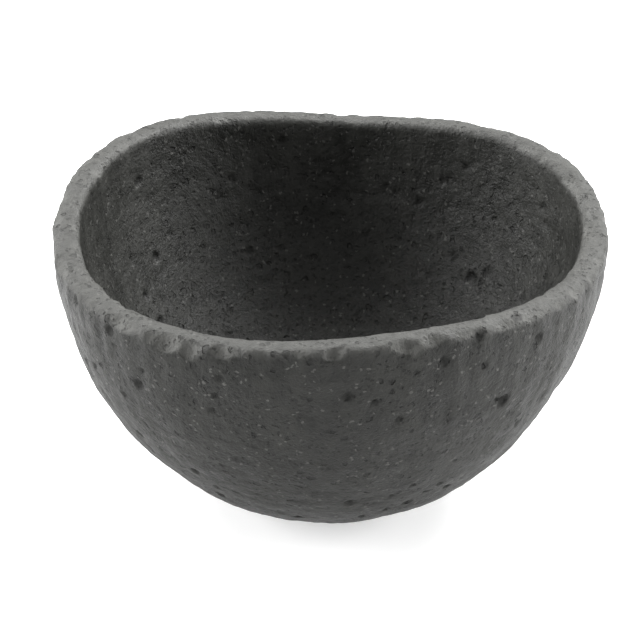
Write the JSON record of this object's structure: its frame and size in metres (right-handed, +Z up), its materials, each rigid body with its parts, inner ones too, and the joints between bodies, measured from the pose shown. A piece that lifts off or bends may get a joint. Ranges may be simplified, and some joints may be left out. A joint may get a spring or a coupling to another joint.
{
  "type": "molcajete",
  "caption": "Legless hand-carved stone mortar: a round-bottomed bowl with an uneven rounded rim and a small ground foot, and its loose flattened pestle, the tejolote, lying inside.",
  "frame": {"origin": "middle of the flat face that is ground on the underside, which rests on the table", "axes": "+Z up along the bowl's axis, out of its mouth; -Y the front; +X the right-hand side seen from the front"},
  "size_m": [0.161, 0.1613, 0.0922],
  "materials": {
    "bowl_stone": "dark charcoal-grey basalt, dressed by hand, finely pitted, with a faint sheen where it is worn",
    "tejolote_stone": "the same basalt, a little lighter and finely pitted, its grinding end worn smoother"
  },
  "bodies": {
    "bowl": {"bowl": "bowl_stone"},
    "tejolote": {"tejolote": "tejolote_stone"}
  },
  "joints": [
    {"name": "tejolote_lift", "type": "slide", "parent": "bowl", "child": "tejolote", "axis": [0, 0, 1], "range_m": [0, 0.12]}
  ]
}
